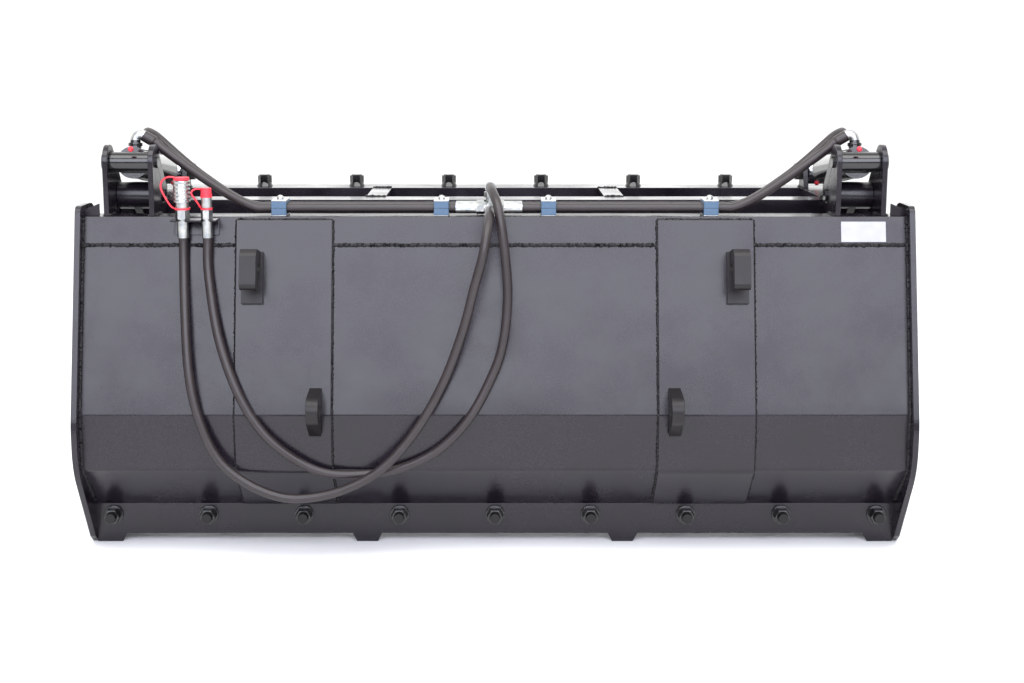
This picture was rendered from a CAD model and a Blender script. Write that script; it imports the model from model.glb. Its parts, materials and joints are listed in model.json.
# %% [markdown]
# A manure grab hangs on a loader's front: a bent steel back, a row of straight tines that slide under
# the heap, and a claw of curved tines that two cylinders close over it. The solids come ready made, to
# size, so this lesson dresses them: paint, welds, hoses, plating and light.

import json
import math
import random

import bpy
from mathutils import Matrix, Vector


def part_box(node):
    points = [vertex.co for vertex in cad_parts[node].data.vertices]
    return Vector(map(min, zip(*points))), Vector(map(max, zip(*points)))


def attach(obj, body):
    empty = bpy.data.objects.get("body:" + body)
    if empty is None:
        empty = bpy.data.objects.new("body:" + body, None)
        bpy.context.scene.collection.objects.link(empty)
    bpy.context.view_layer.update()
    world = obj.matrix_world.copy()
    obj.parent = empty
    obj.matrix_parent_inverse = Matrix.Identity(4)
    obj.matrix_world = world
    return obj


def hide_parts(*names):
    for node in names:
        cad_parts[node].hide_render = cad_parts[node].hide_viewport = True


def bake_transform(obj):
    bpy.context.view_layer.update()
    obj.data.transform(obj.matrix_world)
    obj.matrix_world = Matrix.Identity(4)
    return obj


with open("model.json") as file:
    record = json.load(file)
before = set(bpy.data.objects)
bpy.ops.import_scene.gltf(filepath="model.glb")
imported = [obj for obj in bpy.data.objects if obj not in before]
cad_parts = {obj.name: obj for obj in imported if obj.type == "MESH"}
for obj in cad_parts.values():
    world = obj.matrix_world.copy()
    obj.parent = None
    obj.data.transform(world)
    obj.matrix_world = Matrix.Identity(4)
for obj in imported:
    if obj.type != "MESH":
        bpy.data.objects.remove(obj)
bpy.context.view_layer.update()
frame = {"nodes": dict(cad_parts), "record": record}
print("solids loaded:", len(frame["nodes"]), "nodes")

# %% [markdown]
# A workshop drawing is in millimetres and counts from the rearmost line of the side plates, while the
# scene is in metres round its own middle. One small function turns a drawing's place into the scene's,
# and it finds the rear line on the solid itself, so nothing has to be measured twice. Most pieces come
# in pairs, so a place is given once, for the right hand, and mirrored for the left.

# %% Places in millimetres
MM = 0.001
HANDS = {"left": -1, "right": 1}
rear_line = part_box("side_plate_left")[0][1]


def at(x, y, z):
    """A place in millimetres from the middle, the rear line and the floor, as the scene's metres."""
    return Vector((x * MM, rear_line + y * MM, z * MM))


def mirrored(places, side):
    """The right hand's places, or their mirror images for side -1."""
    return [(side * x, y, z) for x, y, z in places]


print("rear line at", round(rear_line, 4), "m")

# %% [markdown]
# The camera stands a few steps behind the grab and a little above its top, so the rail's top shows as a
# thin bright strip. It could be placed by eye, but the picture's own perspective gives the distance, the
# height and a lens a little longer than normal. The grab's middle is a little left of the picture's, and
# a small sideways shift of the lens does that without turning the camera.

# %% Camera
PICTURE_WIDTH = 1024
LENS_PIXELS = 1600
MIDDLE_PIXEL = 495
SENSOR = 36
CAMERA_BACK = -3300
CAMERA_HEIGHT = 1092
CAMERA_DIP = math.radians(10.5)

camera_data = bpy.data.cameras.new("camera")
camera_data.sensor_width = SENSOR
camera_data.lens = SENSOR * LENS_PIXELS / PICTURE_WIDTH
camera_data.shift_x = 0.5 - MIDDLE_PIXEL / PICTURE_WIDTH
camera = bpy.data.objects.new("camera", camera_data)
camera.location = at(0, CAMERA_BACK, CAMERA_HEIGHT)
camera.rotation_euler = (math.pi / 2 - CAMERA_DIP, 0, 0)
bpy.context.scene.collection.objects.link(camera)
bpy.context.scene.camera = camera
print("lens", camera_data.lens, "mm, camera at", [round(v, 3) for v in camera.location])

# %% [markdown]
# A hose is a length of rubber over a steel braid. It leaves its fitting straight, hangs under its own
# weight and bends no tighter than it can bear. It could be simulated, but its whole route is known, so a
# smooth line through hand-placed points follows it better. A curve's bevel then gives the line the
# hose's thickness. The same points guide the solids.

# %% Hose helper
HOSE_RADIUS = 10
HOSE_DETAIL = 6
LINE_STEPS = 6
SMOOTH_BELOW = math.radians(50)


def select_only(*pieces):
    """Selects these pieces and nothing else, and makes the first of them active."""
    bpy.ops.object.select_all(action="DESELECT")
    for piece in pieces:
        piece.select_set(True)
    if pieces:
        bpy.context.view_layer.objects.active = pieces[0]


def smoothed(places):
    """A line that passes smoothly through all the places, in a few steps from each to the next."""
    ends = [places[0], *places, places[-1]]
    line = []
    for before, start, end, after in zip(ends, ends[1:], ends[2:], ends[3:]):
        before, start, end, after = Vector(before), Vector(start), Vector(end), Vector(after)
        for step in range(LINE_STEPS):
            t = step / LINE_STEPS
            line.append(0.5 * (2 * start + (end - before) * t
                               + (2 * before - 5 * start + 4 * end - after) * t ** 2
                               + (3 * start - before - 3 * end + after) * t ** 3))
    return line + [Vector(places[-1])]


def tube(name, line, radius, detail=HOSE_DETAIL, swell=None):
    """A round tube along scene places, with its own map. Its rings have 4 corners and 2 more for each
    step of detail, and swell scales the radius at each place."""
    shape = bpy.data.curves.new(name, "CURVE")
    shape.dimensions = "3D"
    shape.bevel_depth = radius * MM
    shape.bevel_resolution = detail
    shape.use_fill_caps = True
    spline = shape.splines.new("POLY")
    spline.points.add(len(line) - 1)
    for point, place, scale in zip(spline.points, line, swell or [1] * len(line)):
        point.co = (*place, 1)
        point.radius = scale
    piece = bpy.data.objects.new(name, shape)
    bpy.context.scene.collection.objects.link(piece)
    select_only(piece)
    bpy.ops.object.convert(target="MESH")
    bpy.ops.object.shade_smooth_by_angle(angle=SMOOTH_BELOW)
    return bpy.context.object


def length_of(line):
    """The length of a line, in its own unit."""
    return sum((b - a).length for a, b in zip(line, line[1:]))


print("a hose is", 2 * HOSE_RADIUS, "mm thick")

# %% [markdown]
# Two supply hoses leave the tees in the rail's middle, drop over the back and swing up to the parking
# holder at the left, where their couplers stand upright. They hang free, so each is declared as a cord
# with its real length and what is on its end. Between the straight pieces at its two ends, each route
# has a point every 50 to 125 mm, and every 36 mm where the hose turns over the rail.

# %% Supply hoses
TEE_X = -10
REAR_ARM = (101.38, 745)
TOP_ARM = (147.38, 791)
LEAD = 10
COUPLER_X = {"a": -668, "b": -616}
COUPLER_LINE_Y = 112
FERRULE_BOTTOM = 686
HOSE_START = {"a": (TEE_X, *REAR_ARM), "b": (TEE_X, *TOP_ARM)}
SUPPLY_ROUTE = {
    "a": [(TEE_X, REAR_ARM[0] - LEAD, REAR_ARM[1]), (-12, 56, 738), (-15, 26, 718), (-20, 6, 688),
          (-27, 0, 653), (-43, 2, 595), (-68, 6, 500), (-110, 10, 388), (-166, 4, 290), (-232, -5, 214),
          (-296, -7, 172), (-372, -6, 146), (-450, -4, 142), (-530, 2, 172), (-592, 8, 226),
          (-632, 16, 316), (-652, 34, 410), (-662, 70, 530), (-667, 102, 624),
          (COUPLER_X["a"], COUPLER_LINE_Y, FERRULE_BOTTOM - LEAD)],
    "b": [(TEE_X, TOP_ARM[0] - LEAD, TOP_ARM[1]), (-5, 102, 784), (4, 72, 764), (11, 53, 734),
          (16, 46, 699), (22, 44, 650), (27, 44, 570), (18, 38, 474), (-6, 32, 400), (-58, 20, 306),
          (-126, 19, 238), (-206, 19, 200), (-284, 19, 187), (-366, 9, 194), (-436, 8, 230),
          (-496, 10, 284), (-548, 23, 368), (-590, 54, 482), (-614, 98, 610),
          (COUPLER_X["b"], COUPLER_LINE_Y, FERRULE_BOTTOM - LEAD)],
}
supply_hoses = {}
for letter, route in SUPPLY_ROUTE.items():
    end = (COUPLER_X[letter], COUPLER_LINE_Y, FERRULE_BOTTOM)
    line = [at(*place) for place in [HOSE_START[letter], *smoothed(route), end]]
    hose = tube(f"supply_hose_{letter}", line, HOSE_RADIUS)
    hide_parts(f"drop_hose_{letter}")
    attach(hose, "rack")
    supply_hoses[letter] = hose
    print(hose.name, "is", round(length_of(line), 3), "m long")

# %% [markdown]
# Each cylinder has two hoses of its own, from the tees along the rail to its ports. A hose that followed
# one body alone would tear off the other when the claw opens. So the part of each hose by the rail stays
# with the rack, the part by the port turns with the cylinder, and what lies between is blended. The tees
# stand a little off the middle, so their ends differ from left to right.

# %% Cylinder hoses
CYLINDER_X = 790
CYLINDER_PIN = (185.38, 842)
ROD_PIN = (650.38, 786)
ELBOW_BEND = 12
ELBOW_FOOT = 50
FERRULE_LENGTH = 26
PORT_AT = {"base": 46, "rod": 292}
ELBOW_TURN = {"base": math.radians(120), "rod": math.radians(90)}
LINE_Y = {"base": 165.38, "rod": 195.38}
LINE_HEIGHT = 745
RUN_START = 515
CLAMP_EDGE = 499
TEE_END = {"left": 85, "right": 59}
ROUTE_SHARES = {
    "base": [(0.95, 0.95, 0.915), (0.775, 0.815, 0.708), (0.593, 0.631, 0.506), (0.432, 0.447, 0.339),
             (0.274, 0.249, 0.185), (0.123, 0.079, 0.068)],
    "rod": [(1, 0.83, 1.09), (1, 0.68, 1.166), (0.96, 0.56, 1.19), (0.88, 0.46, 1.125),
            (0.786, 0.382, 0.979), (0.656, 0.307, 0.76), (0.514, 0.232, 0.536), (0.378, 0.161, 0.351),
            (0.245, 0.09, 0.184), (0.119, 0.028, 0.06)],
}
BLEND_FROM = {"base": (585, 184, 774), "rod": (600, 226, 780)}
BLEND_TO = {"base": (735, 234, 877), "rod": (786, 360, 897)}
tilt = math.atan2(ROD_PIN[1] - CYLINDER_PIN[1], ROD_PIN[0] - CYLINDER_PIN[0])


def from_cylinder(across, along, out):
    """A place given across, along and out from the right cylinder's base pin."""
    y = CYLINDER_PIN[0] + along * math.cos(tilt) - out * math.sin(tilt)
    z = CYLINDER_PIN[1] + along * math.sin(tilt) + out * math.cos(tilt)
    return (CYLINDER_X + across, y, z)


def tail(port, reach):
    """A place on the hose's tail, reach past the end of the port's elbow."""
    turn = ELBOW_TURN[port]
    aside = ELBOW_BEND * (1 - math.cos(turn)) + reach * math.sin(turn)
    rise = ELBOW_BEND * math.sin(turn) + reach * math.cos(turn)
    if port == "base":
        return from_cylinder(-aside, PORT_AT[port], ELBOW_FOOT + rise)
    return from_cylinder(0, PORT_AT[port] - aside, ELBOW_FOOT + rise)


def between(start, end, shares):
    """Places between two places, each by its shares of the way in X, Y and Z."""
    return [tuple(a + s * (b - a) for a, b, s in zip(start, end, share)) for share in shares]


cylinder_hoses = []
for hand, side in HANDS.items():
    for port, shares in ROUTE_SHARES.items():
        rail_start = (RUN_START, LINE_Y[port], LINE_HEIGHT)
        lead_end = tail(port, FERRULE_LENGTH + LEAD)
        route = [tail(port, FERRULE_LENGTH - LEAD),
                 *smoothed([lead_end, *between(rail_start, lead_end, shares), rail_start,
                            (CLAMP_EDGE, LINE_Y[port], LINE_HEIGHT)]),
                 (TEE_END[hand], LINE_Y[port], LINE_HEIGHT)]
        line = [at(*place) for place in mirrored(route, side)]
        hose = tube(f"{port}_hose_{hand}", line, HOSE_RADIUS)
        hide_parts(f"hoses_{hand}")
        start, end = mirrored([BLEND_FROM[port], BLEND_TO[port]], side)
        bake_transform(hose)
        cylinder_hoses.append(hose)
        print(hose.name, "is", round(length_of(line), 3), "m long")

# %% [markdown]
# At a port the hose's ferrule hides under a rubber guard, and the elbow stands on a black adaptor with a
# wider ring below it. They could be spun from a profile, but a hose's tube can do it too, when its radius
# changes along its length. Each profile lists how far out a place is and how wide the piece is there.

# %% Port dressings
GUARD = ((1, 12.1), (3, 12.4), (24, 12.4), (27, 12), (29, 10.3))
ADAPTOR = ((44.2, 11.4), (49, 11.4), (50.4, 10.9))
RING = ((37.2, 14.9), (38, 15.4), (43, 15.4), (44.2, 14.7))
PORT_DETAIL = 10


def turned(name, profile, place_of, side):
    """A turned part: a tube through the profile's places, with the profile's radii."""
    line = [at(*place) for place in mirrored([place_of(reach) for reach, radius in profile], side)]
    widest = max(radius for reach, radius in profile)
    return tube(name, line, widest, PORT_DETAIL, [radius / widest for reach, radius in profile])


guards, adaptors, rings = [], [], []
for hand, side in HANDS.items():
    for port, along in PORT_AT.items():
        guards.append(turned(f"{port}_guard_{hand}", GUARD, lambda reach: tail(port, reach), side))
        adaptors.append(turned(f"{port}_adaptor_{hand}", ADAPTOR,
                               lambda reach: from_cylinder(0, along, reach), side))
        rings.append(turned(f"{port}_ring_{hand}", RING,
                            lambda reach: from_cylinder(0, along, reach), side))
        for piece in (guards[-1], adaptors[-1], rings[-1]):
            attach(piece, f"cylinder_{hand}")
print("port dressings:", len(guards) + len(adaptors) + len(rings))

# %% [markdown]
# Grease nipples wear soft red caps against dirt: one at the base of each cylinder, and one low behind
# each rod's eye. A cap is only 12 mm wide, so a small ball, drawn out a little to the front and back,
# shows all that can be seen of it.

# %% Grease caps
CAP_RADIUS = 6
CAP_SEGMENTS = 20
CAP_STRETCH = 1.25
GREASE_PLACES = {"cylinder": (CYLINDER_X - 7, 156, 872), "piston": (CYLINDER_X, 634, 759)}


def ball(place, radius, segments):
    """A sphere at a place in millimetres, with half as many rings as segments."""
    select_only()
    bpy.ops.mesh.primitive_uv_sphere_add(segments=segments, ring_count=segments // 2,
                                         radius=radius * MM, location=at(*place))
    return bpy.context.object


def settle(piece):
    """Moves a piece's place, turn and scale into its mesh."""
    select_only(piece)
    bpy.ops.object.transform_apply(location=True, rotation=True, scale=True)


grease_caps = []
for hand, side in HANDS.items():
    for body, place in GREASE_PLACES.items():
        cap = ball(mirrored([place], side)[0], CAP_RADIUS, CAP_SEGMENTS)
        cap.name = f"grease_cap_{body}_{hand}"
        cap.scale = (1, CAP_STRETCH, 1)
        settle(cap)
        bpy.ops.object.shade_smooth()
        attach(cap, f"{body}_{hand}")
        grease_caps.append(cap)
print("grease caps:", len(grease_caps))

# %% [markdown]
# Everything is joined by hand welding. A bead is a row of overlapping frozen drops that lies in the
# corner between two plates, 9 mm wide on the rack and 7 on the claw. Bump in the paint could hint at it,
# but a tube with a rippled, slightly shaky line, half sunk in the steel, catches the light as a bead
# does. More than a thousand drops are needed, so each ring of the tube has only eight corners.

# %% Welds
DROP = 4.5
RACK_BEAD = 4.4
CLAW_BEAD = 3.5
BEAD_DETAIL = 2
SHAKE = 0.9
CREST = 1.08
TROUGH = 0.84
SWELL_SHAKE = 0.2
hand_shake = random.Random(5)


def bead(places, radius):
    """A weld bead along places in millimetres: drops on a slightly shaky line."""
    line = []
    for start, end in zip(places, places[1:]):
        start, end = Vector(start), Vector(end)
        steps = 2 * max(1, round((end - start).length / DROP))
        line += [start.lerp(end, step / steps) for step in range(steps)]
    line.append(Vector(places[-1]))
    line = [point + Vector([hand_shake.uniform(-SHAKE, SHAKE) for axis in range(3)]) for point in line]
    swell = [(CREST if i % 2 else TROUGH) + hand_shake.uniform(-SWELL_SHAKE, SWELL_SHAKE)
             for i in range(len(line))]
    return tube("bead", [at(*point) for point in line], radius, BEAD_DETAIL, swell)


def joined(name, pieces, body):
    """The pieces as one, riding on a body."""
    select_only(*pieces)
    bpy.ops.object.join()
    bpy.context.object.name = name
    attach(bpy.context.object, body)
    return bpy.context.object


print("a bead has a drop every", DROP, "mm")

# %% [markdown]
# The rack's beads follow the corners that show from behind: under the top rail, round the two hitch
# plates that double the back, down the side plates to the lower beam, and at the bracket plates' feet.
# The back has two folds, so a small function finds its rear face at any height, and the beads that run
# down the back follow it.

# %% Rack welds
SHEET_REAR = 33
FOLD_HIGH = 314
FOLD_LOW = 193
BEAM_REAR = 140
BEAM_TOP = 88
LEAN = math.radians(14.8)
SEAM_FOOT = 100
SIDE_INNER = 888
RAIL_LOW = 668
RAIL_TOP = 728
DOUBLER = (350, 556)
DOUBLER_TOP = 720
BRACKET_FACES = (735.5, 746.5, 833.5, 844.5)
BRACKET_FOOT = (150, 212)


def rear_face(height):
    """How far the back's rear face lies from the rear line at a height."""
    if height >= FOLD_HIGH:
        return SHEET_REAR + (height - FOLD_HIGH) * math.tan(LEAN)
    if height >= FOLD_LOW:
        return SHEET_REAR
    return SHEET_REAR + (FOLD_LOW - height) / (FOLD_LOW - BEAM_TOP) * (BEAM_REAR - SHEET_REAR)


def across_the_back(x_from, x_to, height):
    """A level line on the back's rear face."""
    return [(x_from, rear_face(height), height), (x_to, rear_face(height), height)]


def down_the_back(x, top):
    """A line on the back's rear face, from the top over both folds to the seam's foot."""
    return [(x, rear_face(height), height) for height in (top, FOLD_HIGH, FOLD_LOW, SEAM_FOOT)]


rack_lines = [across_the_back(-DOUBLER[0], DOUBLER[0], RAIL_LOW)]
for side in HANDS.values():
    lines = [across_the_back(DOUBLER[1], SIDE_INNER, RAIL_LOW), across_the_back(*DOUBLER, DOUBLER_TOP),
             down_the_back(SIDE_INNER, RAIL_TOP)]
    lines += [down_the_back(x, DOUBLER_TOP) for x in DOUBLER]
    lines += [[(x, BRACKET_FOOT[0], RAIL_TOP), (x, BRACKET_FOOT[1], RAIL_TOP)] for x in BRACKET_FACES]
    rack_lines += [mirrored(line, side) for line in lines]
rack_welds = joined("rack_welds", [bead(line, RACK_BEAD) for line in rack_lines], "rack")
print("beads on the rack:", len(rack_lines))

# %% [markdown]
# The claw's beads are thinner, as its parts are. They lie where the arms meet the torque tube, where the
# braces meet the tube and the upper beam, and along the feet of the rods' ears. Close under the rods no
# bead is laid, because they would touch it as the claw opens.

# %% Claw welds
TUBE_FRONT = 415.4
BEAM_BACK = 647.4
CLAW_TOP = 746
ARM = (754, 826)
BRACE = (254, 300)
EAR_FACES = (754, 826)
EAR_FOOT = (614, 678)
claw_lines = []
for side in HANDS.values():
    lines = [[(x_from, y, CLAW_TOP), (x_to, y, CLAW_TOP)]
             for (x_from, x_to), y in ((ARM, TUBE_FRONT), (BRACE, TUBE_FRONT), (BRACE, BEAM_BACK))]
    lines += [[(x, EAR_FOOT[0], CLAW_TOP), (x, EAR_FOOT[1], CLAW_TOP)] for x in EAR_FACES]
    claw_lines += [mirrored(line, side) for line in lines]
claw_welds = joined("claw_welds", [bead(line, CLAW_BEAD) for line in claw_lines], "claw")
print("beads on the claw:", len(claw_lines))

# %% [markdown]
# The clamps' bolts have domed heads. A head starts as a sphere, and bisect cuts its lower half away and
# fills the cut, which is quicker than building a dome ring by ring.

# %% Clamp bolts
CLAMP_X = (-467, -116, 116, 467)
CLAMP_MIDDLE = 180.38
DOME_FOOT = 763.5
DOME_RADIUS = 8
DOME_SEGMENTS = 24
domes = []
for x in CLAMP_X:
    dome = ball((x, CLAMP_MIDDLE, DOME_FOOT), DOME_RADIUS, DOME_SEGMENTS)
    settle(dome)
    bpy.ops.object.mode_set(mode="EDIT")
    bpy.ops.mesh.select_all(action="SELECT")
    bpy.ops.mesh.bisect(plane_co=at(x, CLAMP_MIDDLE, DOME_FOOT), plane_no=(0, 0, 1), use_fill=True,
                        clear_inner=True)
    bpy.ops.object.mode_set(mode="OBJECT")
    bpy.ops.object.shade_smooth_by_angle(angle=SMOOTH_BELOW)
    domes.append(dome)
bolt_domes = joined("bolt_domes", domes, "rack")
print("bolt domes:", len(CLAMP_X))

# %% [markdown]
# A thin blank plate sits on the rail at the right. It is a cube scaled to the plate's size and leant as
# the rail's face leans. Its middle stands a little off the face, so that the back of the plate sinks in
# and the plate lies flat with no gap behind it.

# %% Blank plate
PLATE_SIZE = (96, 1.6, 44)
PLATE_X = 794
PLATE_HEIGHT = 696
PLATE_OFF = 0.6
select_only()
bpy.ops.mesh.primitive_cube_add(size=1, rotation=(-LEAN, 0, 0),
                                location=at(PLATE_X, rear_face(PLATE_HEIGHT) - PLATE_OFF, PLATE_HEIGHT))
blank_plate = bpy.context.object
blank_plate.name = "blank_plate"
blank_plate.scale = [length * MM for length in PLATE_SIZE]
settle(blank_plate)
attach(blank_plate, "rack")
print(blank_plate.name, "is", PLATE_SIZE[0], "by", PLATE_SIZE[2], "mm")

# %% [markdown]
# The grab stands in a white photo studio: a pale floor that runs out of sight, with the room bright
# ahead of the camera and dim behind it. One large softbox hangs above and behind the camera, and one
# above the grab.
# Black gloss paint has almost no light of its own; what the eye reads as its shape are the reflections.
# The upper back leans, so it mirrors the softbox, 12 to 44 degrees up, and shines; the upright middle
# mirrors the floor, which is dimmer, and stays dark. That is why the two differ in one paint.

# %% Floor and lights
FLOOR_SIZE = 60
WALL_LIGHT = 2.0
DIM_LIGHT = 0.3
DIM_UP_TO = -0.8
WALL_FROM = 1.0


def linear(hex_colour):
    """A colour of the screen, such as #808080, as the linear light that nodes work in (sRGB's curve)."""
    values = [int(hex_colour[i:i + 2], 16) / 255 for i in (1, 3, 5)]
    return [v / 12.92 if v <= 0.04045 else ((v + 0.055) / 1.055) ** 2.4 for v in values]


def rgba(hex_colour):
    """The same colour with full cover."""
    return (*linear(hex_colour), 1)


def add(tree, kind, inputs=None, **settings):
    """Adds a node with its settings, and gives each input a value or another node's output."""
    made = tree.nodes.new(kind)
    for name, value in settings.items():
        setattr(made, name, value)
    for name, value in (inputs or {}).items():
        if isinstance(value, bpy.types.NodeSocket):
            tree.links.new(value, made.inputs[name])
        else:
            made.inputs[name].default_value = value
    return made


def softbox(name, place, target, size, glow, tint="#ffffff"):
    """An area light, wide and high in metres, at one place that faces another. Glow 1 is paper white."""
    light = bpy.data.lights.new(name, "AREA")
    light.shape = "RECTANGLE"
    light.size, light.size_y = size
    light.energy = glow * math.pi * size[0] * size[1]
    light.color = linear(tint)
    lamp = bpy.data.objects.new(name, light)
    lamp.location = place
    lamp.rotation_euler = (Vector(target) - Vector(place)).to_track_quat("-Z", "Y").to_euler()
    bpy.context.scene.collection.objects.link(lamp)


world = bpy.data.worlds.new("studio")
bpy.context.scene.world = world
world.use_nodes = True
room = world.node_tree
ray = add(room, "ShaderNodeTexCoord")
axes = add(room, "ShaderNodeSeparateXYZ", {"Vector": ray.outputs["Generated"]})
depth = add(room, "ShaderNodeMapRange", {"Value": axes.outputs["Y"], "From Min": DIM_UP_TO,
                                         "From Max": WALL_FROM, "To Min": DIM_LIGHT,
                                         "To Max": WALL_LIGHT})
room.nodes["Background"].inputs["Color"].default_value = rgba("#ffffff")
room.links.new(depth.outputs["Result"], room.nodes["Background"].inputs["Strength"])

softbox("back_softbox", place=(0, -4.6, 2.75), target=(0, 0, 0.5), size=(6.5, 2.7), glow=6.3,
        tint="#eef1ff")
softbox("top_softbox", place=(0, -1.3, 3.1), target=(0, -0.4, 0), size=(3.8, 1.6), glow=5.2)

bpy.ops.mesh.primitive_plane_add(size=FLOOR_SIZE, location=(0, 0, 0))
floor = bpy.context.object
floor.name = "floor"
bpy.context.scene.view_settings.view_transform = "Standard"
print("floor", FLOOR_SIZE, "m wide, two softboxes")

# %% [markdown]
# Every finish below is a short recipe of nodes. A surface of one flat colour looks like plastic from a
# toy, so each recipe breaks its colour, its gloss or its level a little, at the size at which the real
# surface varies. Patterns read the solid's own coordinates, so they stay put when a piece moves.

# %% Finish helpers
METRE = 1000


def finish(name):
    """A new material: its tree, its shader, and the piece's coordinates in metres."""
    material = bpy.data.materials.new(name)
    material.use_nodes = True
    tree = material.node_tree
    place = add(tree, "ShaderNodeTexCoord")
    return material, tree, tree.nodes["Principled BSDF"], place.outputs["Object"]


def per_metre(size_mm):
    """The scale that makes a pattern's cell this many millimetres wide."""
    return METRE / size_mm


print("a pattern's cell of 5 mm needs scale", per_metre(5))

# %% [markdown]
# The floor is matt white paper board: it only has to catch the soft shadow under the feet, and the
# upright middle of the back mirrors it. A wide, faint cloud in its white is all the pattern that it has.

# %% Floor finish
board, tree, shader, place = finish("white_paper_board")
grain = add(tree, "ShaderNodeTexNoise", {"Vector": place, "Scale": per_metre(400), "Detail": 3.0})
tone = add(tree, "ShaderNodeMixRGB", {"Fac": grain.outputs["Fac"], "Color1": rgba("#f8f8f8"),
                                      "Color2": rgba("#fdfdfd")})
tree.links.new(tone.outputs["Color"], shader.inputs["Base Color"])
shader.inputs["Roughness"].default_value = 0.6
floor.data.materials.append(board)
print("floor finish:", board.name)

# %% [markdown]
# Powder coat is a dry plastic powder, melted on to the steel. It flows into a gloss skin with a faint
# orange peel, 2 to 3 mm across, and its gloss falls where it was handled or rubbed. Black powder coat is
# not quite black: a thin haze of dust lifts it to a dark grey. Sheet steel is never flat either: welding
# pulls it by a millimetre over a hand's width, and a gloss coat shows that as soft clouds. That is too
# little to show in an outline, so a wide bump draws it, and a fine one draws the peel.

# %% Powder coat
powder_coat, tree, shader, place = finish("black_powder_coat")
haze = add(tree, "ShaderNodeTexNoise", {"Vector": place, "Scale": per_metre(160), "Detail": 6.0,
                                        "Roughness": 0.65})
buckle = add(tree, "ShaderNodeTexNoise", {"Vector": place, "Scale": per_metre(230), "Detail": 1.0})
speck = add(tree, "ShaderNodeTexNoise", {"Vector": place, "Scale": per_metre(3), "Detail": 2.0})
mixed = add(tree, "ShaderNodeMath", {0: haze.outputs["Fac"], 1: speck.outputs["Fac"]},
            operation="MULTIPLY")
dust = add(tree, "ShaderNodeValToRGB", {"Fac": mixed.outputs["Value"]})
dust.color_ramp.elements[0].position = 0.12
dust.color_ramp.elements[0].color = rgba("#0f0c11")
dust.color_ramp.elements[1].position = 0.42
dust.color_ramp.elements[1].color = rgba("#211b24")
tree.links.new(dust.outputs["Color"], shader.inputs["Base Color"])
gloss = add(tree, "ShaderNodeMapRange", {"Value": haze.outputs["Fac"], "From Min": 0.3, "From Max": 0.7,
                                         "To Min": 0.15, "To Max": 0.33})
tree.links.new(gloss.outputs["Result"], shader.inputs["Roughness"])
peel = add(tree, "ShaderNodeTexNoise", {"Vector": place, "Scale": per_metre(5), "Detail": 1.0})
fine = add(tree, "ShaderNodeBump", {"Height": peel.outputs["Fac"], "Strength": 0.03,
                                    "Distance": 0.4 * MM})
level = add(tree, "ShaderNodeBump", {"Height": buckle.outputs["Fac"], "Strength": 1.0,
                                     "Distance": 4 * MM, "Normal": fine.outputs["Normal"]})
tree.links.new(level.outputs["Normal"], shader.inputs["Normal"])
shader.inputs["Specular IOR Level"].default_value = 0.4
print("finish:", powder_coat.name)

# %% [markdown]
# Over a weld bead the coat runs thin. Soot and scale from the arc show through it, so a bead reads as a
# ragged dark line in the gloss, with small glints on its drops. One noise drives both the colour and the
# gloss, because the greyer places are the scaly, dull ones.

# %% Weld coat
weld_coat, tree, shader, place = finish("sooty_weld_coat")
soot = add(tree, "ShaderNodeTexNoise", {"Vector": place, "Scale": per_metre(11), "Detail": 5.0})
tone = add(tree, "ShaderNodeMixRGB", {"Fac": soot.outputs["Fac"], "Color1": rgba("#060506"),
                                      "Color2": rgba("#1b181b")})
tree.links.new(tone.outputs["Color"], shader.inputs["Base Color"])
gloss = add(tree, "ShaderNodeMapRange", {"Value": soot.outputs["Fac"], "From Min": 0.35,
                                         "From Max": 0.65, "To Min": 0.25, "To Max": 0.75})
tree.links.new(gloss.outputs["Result"], shader.inputs["Roughness"])
shader.inputs["Specular IOR Level"].default_value = 0.3
print("finish:", weld_coat.name)

# %% [markdown]
# The cylinders, their base pins, the claw's hinge pins, the tines' nuts and the black parts at the ports
# are sprayed with wet enamel. It flows smoother than powder and dries to a harder gloss, so its lights
# are small and sharp, with a low peel left by the spray.

# %% Spray enamel
enamel, tree, shader, place = finish("black_spray_enamel")
haze = add(tree, "ShaderNodeTexNoise", {"Vector": place, "Scale": per_metre(60), "Detail": 5.0})
tone = add(tree, "ShaderNodeMixRGB", {"Fac": haze.outputs["Fac"], "Color1": rgba("#0b0a0c"),
                                      "Color2": rgba("#181719")})
tree.links.new(tone.outputs["Color"], shader.inputs["Base Color"])
gloss = add(tree, "ShaderNodeMapRange", {"Value": haze.outputs["Fac"], "To Min": 0.08, "To Max": 0.2})
tree.links.new(gloss.outputs["Result"], shader.inputs["Roughness"])
peel = add(tree, "ShaderNodeTexNoise", {"Vector": place, "Scale": per_metre(7), "Detail": 1.0})
level = add(tree, "ShaderNodeBump", {"Height": peel.outputs["Fac"], "Strength": 0.15,
                                     "Distance": 0.4 * MM})
tree.links.new(level.outputs["Normal"], shader.inputs["Normal"])
shader.inputs["Specular IOR Level"].default_value = 0.6
print("finish:", enamel.name)

# %% [markdown]
# The tines, their sockets, the hooks and the locking eyes are forged or cast, and dipped in black paint.
# That leaves a skin of low dents about 20 mm wide, and the paint over it is duller than the powder coat.
# One noise gives the dents, the colour and the gloss, so that they agree.

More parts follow.
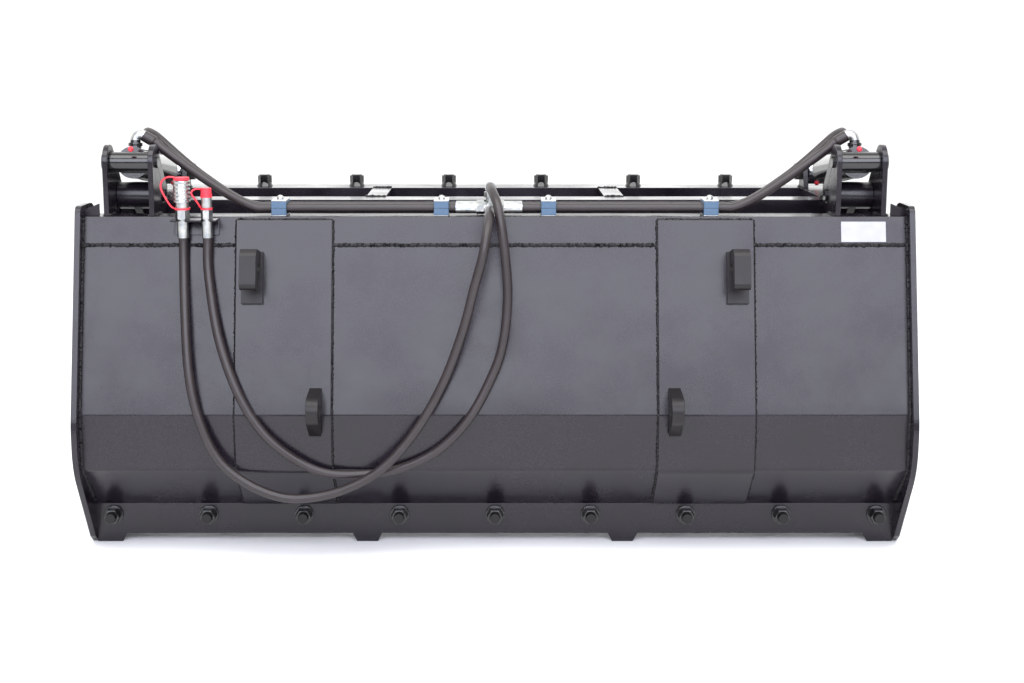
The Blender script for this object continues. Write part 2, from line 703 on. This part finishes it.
# %% Dipped forgings
forged, tree, shader, place = finish("dipped_forging")
skin = add(tree, "ShaderNodeTexNoise", {"Vector": place, "Scale": per_metre(22), "Detail": 4.0})
tone = add(tree, "ShaderNodeMixRGB", {"Fac": skin.outputs["Fac"], "Color1": rgba("#0b090a"),
                                      "Color2": rgba("#1e1a1c")})
tree.links.new(tone.outputs["Color"], shader.inputs["Base Color"])
gloss = add(tree, "ShaderNodeMapRange", {"Value": skin.outputs["Fac"], "To Min": 0.28, "To Max": 0.52})
tree.links.new(gloss.outputs["Result"], shader.inputs["Roughness"])
level = add(tree, "ShaderNodeBump", {"Height": skin.outputs["Fac"], "Strength": 0.3,
                                     "Distance": 1.2 * MM})
tree.links.new(level.outputs["Normal"], shader.inputs["Normal"])
shader.inputs["Specular IOR Level"].default_value = 0.3
print("finish:", forged.name)

# %% [markdown]
# The rods' pins are turned steel with a film of oil. A pin that moves keeps no paint, so bare metal
# shows, a little brown where the oil has gathered dirt and duller where it is dry.

# %% Pin steel
pin_steel, tree, shader, place = finish("oiled_turned_steel")
film = add(tree, "ShaderNodeTexNoise", {"Vector": place, "Scale": per_metre(14), "Detail": 4.0})
tone = add(tree, "ShaderNodeMixRGB", {"Fac": film.outputs["Fac"], "Color1": rgba("#55504c"),
                                      "Color2": rgba("#93928f")})
tree.links.new(tone.outputs["Color"], shader.inputs["Base Color"])
shader.inputs["Metallic"].default_value = 1
gloss = add(tree, "ShaderNodeMapRange", {"Value": film.outputs["Fac"], "To Min": 0.22, "To Max": 0.5})
tree.links.new(gloss.outputs["Result"], shader.inputs["Roughness"])
print("finish:", pin_steel.name)

# %% [markdown]
# A piston rod is ground and hard chromed, a near mirror with the faintest drag marks along its stroke.
# The marks are a noise that is drawn out sixty times along the rod.

# %% Chrome
DRAG_WIDTH = 1
DRAG_LENGTH = 60
chrome, tree, shader, place = finish("hard_chrome")
drag = add(tree, "ShaderNodeMapping", {"Vector": place, "Scale": (per_metre(DRAG_WIDTH),
                                                                  per_metre(DRAG_LENGTH),
                                                                  per_metre(DRAG_WIDTH))})
marks = add(tree, "ShaderNodeTexNoise", {"Vector": drag.outputs["Vector"], "Scale": 1.0, "Detail": 2.0})
tone = add(tree, "ShaderNodeMixRGB", {"Fac": marks.outputs["Fac"], "Color1": rgba("#b9bdc2"),
                                      "Color2": rgba("#e6e8ea")})
tree.links.new(tone.outputs["Color"], shader.inputs["Base Color"])
shader.inputs["Metallic"].default_value = 1
gloss = add(tree, "ShaderNodeMapRange", {"Value": marks.outputs["Fac"], "To Min": 0.06, "To Max": 0.16})
tree.links.new(gloss.outputs["Result"], shader.inputs["Roughness"])
print("finish:", chrome.name)

# %% [markdown]
# Fittings are zinc plated: bright, slightly blue, with cloudy patches of yellow where the plating bath's
# last rinse dried. A colour ramp keeps the blue and the yellow apart, where a plain mix would blur them.

# %% Zinc
zinc, tree, shader, place = finish("bright_zinc_plate")
cloud = add(tree, "ShaderNodeTexNoise", {"Vector": place, "Scale": per_metre(12), "Detail": 5.0})
tone = add(tree, "ShaderNodeValToRGB", {"Fac": cloud.outputs["Fac"]})
tone.color_ramp.elements[0].position = 0.3
tone.color_ramp.elements[0].color = rgba("#a3a9ae")
tone.color_ramp.elements[1].position = 0.75
tone.color_ramp.elements[1].color = rgba("#d4d2cc")
tree.links.new(tone.outputs["Color"], shader.inputs["Base Color"])
shader.inputs["Metallic"].default_value = 1
gloss = add(tree, "ShaderNodeMapRange", {"Value": cloud.outputs["Fac"], "To Min": 0.2, "To Max": 0.42})
tree.links.new(gloss.outputs["Result"], shader.inputs["Roughness"])
print("finish:", zinc.name)

# %% [markdown]
# The pipe clamps are moulded polypropylene, a dusty blue and a little waxy. Light goes a short way into
# it, which softens its shadows. Its moulded skin is far too fine to show from here, so its grain is drawn
# 4 mm wide, just coarse enough to break the gloss.

# %% Clamp plastic
clamp_blue, tree, shader, place = finish("moulded_polypropylene")
skin = add(tree, "ShaderNodeTexNoise", {"Vector": place, "Scale": per_metre(4), "Detail": 4.0})
tone = add(tree, "ShaderNodeMixRGB", {"Fac": skin.outputs["Fac"], "Color1": rgba("#3a536c"),
                                      "Color2": rgba("#4a627b")})
tree.links.new(tone.outputs["Color"], shader.inputs["Base Color"])
gloss = add(tree, "ShaderNodeMapRange", {"Value": skin.outputs["Fac"], "To Min": 0.38, "To Max": 0.55})
tree.links.new(gloss.outputs["Result"], shader.inputs["Roughness"])
shader.inputs["Subsurface Weight"].default_value = 0.15
shader.inputs["Subsurface Radius"].default_value = (2 * MM, 3 * MM, 4 * MM)
level = add(tree, "ShaderNodeBump", {"Height": skin.outputs["Fac"], "Strength": 0.2,
                                     "Distance": 0.2 * MM})
tree.links.new(level.outputs["Normal"], shader.inputs["Normal"])
print("finish:", clamp_blue.name)

# %% [markdown]
# Hose cover is synthetic rubber, cured under a wrap of cloth tape that leaves a faint spiral weave. The
# weave follows the hose, so it reads the tube's own map, with turns coarse enough to show. Handling
# turns the black a warm grey.

# %% Hose rubber
WRAP_TURNS = 160
rubber, tree, shader, place = finish("wrapped_rubber_cover")
own_map = add(tree, "ShaderNodeUVMap")
along = add(tree, "ShaderNodeMapping", {"Vector": own_map.outputs["UV"], "Scale": (WRAP_TURNS, 2, 1)})
wrap = add(tree, "ShaderNodeTexWave", {"Vector": along.outputs["Vector"], "Scale": 1.0, "Distortion": 0.6},
           bands_direction="DIAGONAL")
bloom = add(tree, "ShaderNodeTexNoise", {"Vector": place, "Scale": per_metre(45), "Detail": 5.0})
tone = add(tree, "ShaderNodeMixRGB", {"Fac": bloom.outputs["Fac"], "Color1": rgba("#181213"),
                                      "Color2": rgba("#2d2527")})
tree.links.new(tone.outputs["Color"], shader.inputs["Base Color"])
gloss = add(tree, "ShaderNodeMapRange", {"Value": bloom.outputs["Fac"], "To Min": 0.34, "To Max": 0.5})
tree.links.new(gloss.outputs["Result"], shader.inputs["Roughness"])
level = add(tree, "ShaderNodeBump", {"Height": wrap.outputs["Fac"], "Strength": 0.15,
                                     "Distance": 0.2 * MM})
tree.links.new(level.outputs["Normal"], shader.inputs["Normal"])
print("finish:", rubber.name)

# %% [markdown]
# Dust caps and their straps are soft red vinyl. A little light goes into it, red further than the rest,
# and dirt darkens it in small patches.

# %% Cap vinyl
vinyl, tree, shader, place = finish("soft_red_vinyl")
dirt = add(tree, "ShaderNodeTexNoise", {"Vector": place, "Scale": per_metre(9), "Detail": 5.0})
tone = add(tree, "ShaderNodeMixRGB", {"Fac": dirt.outputs["Fac"], "Color1": rgba("#c8202f"),
                                      "Color2": rgba("#e4394a")})
tree.links.new(tone.outputs["Color"], shader.inputs["Base Color"])
gloss = add(tree, "ShaderNodeMapRange", {"Value": dirt.outputs["Fac"], "To Min": 0.32, "To Max": 0.5})
tree.links.new(gloss.outputs["Result"], shader.inputs["Roughness"])
shader.inputs["Subsurface Weight"].default_value = 0.1
shader.inputs["Subsurface Radius"].default_value = (4 * MM, 1 * MM, 1 * MM)
print("finish:", vinyl.name)

# %% [markdown]
# The blank plate is thin aluminium under a white lacquer. The lacquer is even in its gloss and only a
# little smudged. Its colour is set well below white, because the softboxes light it fully.

# %% Plate lacquer
plate_lacquer, tree, shader, place = finish("white_lacquered_aluminium")
smudge = add(tree, "ShaderNodeTexNoise", {"Vector": place, "Scale": per_metre(30), "Detail": 4.0})
tone = add(tree, "ShaderNodeMixRGB", {"Fac": smudge.outputs["Fac"], "Color1": rgba("#8e8e93"),
                                      "Color2": rgba("#a6a6aa")})
tree.links.new(tone.outputs["Color"], shader.inputs["Base Color"])
shader.inputs["Roughness"].default_value = 0.35
print("finish:", plate_lacquer.name)

# %% [markdown]
# Now the solids get their finish. Each solid names a material slot, and a finish answers to each slot.
# The painted pins and nuts and the castings differ from the rest of their slot, so they are named one
# by one. A cut plate has no razor edges, and a casting's are rounder still. A Weld modifier joins the
# loose faces, a Bevel rounds the edges that turn more than a set angle, and Weighted Normals keep the
# flats flat, all without touching the mesh.

# %% Dress the solids
EDGE_TURN = math.radians(28)
PLATE_EDGE = 1.2
HOOK_EDGE = 5
SAME_PLACE = 0.01
finishes = {
    "painted_steel": powder_coat, "cylinder_paint": enamel, "forged_steel": forged,
    "pin_steel": pin_steel, "rod_chrome": chrome, "zinc_plate": zinc, "clamp_plastic": clamp_blue,
    "hose_rubber": rubber, "cap_plastic": vinyl,
}
special_finishes = {
    "barrel_pins": enamel, "hinge_pins": enamel, "lower_tine_nuts": enamel, "upper_tine_nuts": enamel,
    "hitch_hooks": forged, "lock_eyes": forged,
}
replaced = ("drop_hose_a", "drop_hose_b", "hoses_left", "hoses_right")
slot_of = {part["node"]: part["material_slot"] for part in frame["record"]["subparts"]}


def dress(piece, material):
    """Gives a piece this material and no other."""
    piece.data.materials.clear()
    piece.data.materials.append(material)


def soften(solid, width):
    """Rounds a solid's edges by a width in millimetres, and keeps its flats flat."""
    weld = solid.modifiers.new("join_faces", "WELD")
    weld.merge_threshold = SAME_PLACE * MM
    bevel = solid.modifiers.new("round_edges", "BEVEL")
    bevel.width = width * MM
    bevel.segments = 2
    bevel.limit_method = "ANGLE"
    bevel.angle_limit = EDGE_TURN
    normals = solid.modifiers.new("flat_faces", "WEIGHTED_NORMAL")
    normals.keep_sharp = True


for name, solid in frame["nodes"].items():
    if name not in replaced:
        dress(solid, special_finishes.get(name, finishes[slot_of[name]]))
        soften(solid, HOOK_EDGE if name == "hitch_hooks" else PLATE_EDGE)
print("dressed", len(frame["nodes"]) - len(replaced), "solids")

# %% [markdown]
# The pieces added in this lesson get theirs too: the sooty coat on the beads, enamel on the ports' black
# parts, rubber on the hoses and their guards, and so on.

# %% Dress the added pieces
dressing = {
    rubber: [*supply_hoses.values(), *cylinder_hoses, *guards], enamel: [*adaptors, *rings],
    weld_coat: [rack_welds, claw_welds], vinyl: grease_caps, zinc: [bolt_domes],
    plate_lacquer: [blank_plate],
}
for material, pieces in dressing.items():
    for piece in pieces:
        dress(piece, material)
print("dressed", sum(len(pieces) for pieces in dressing.values()), "added pieces")

# %% [markdown]
# The last step measures the dressed grab against its solids and closes the file.

# %% Finish
print("sizes written")
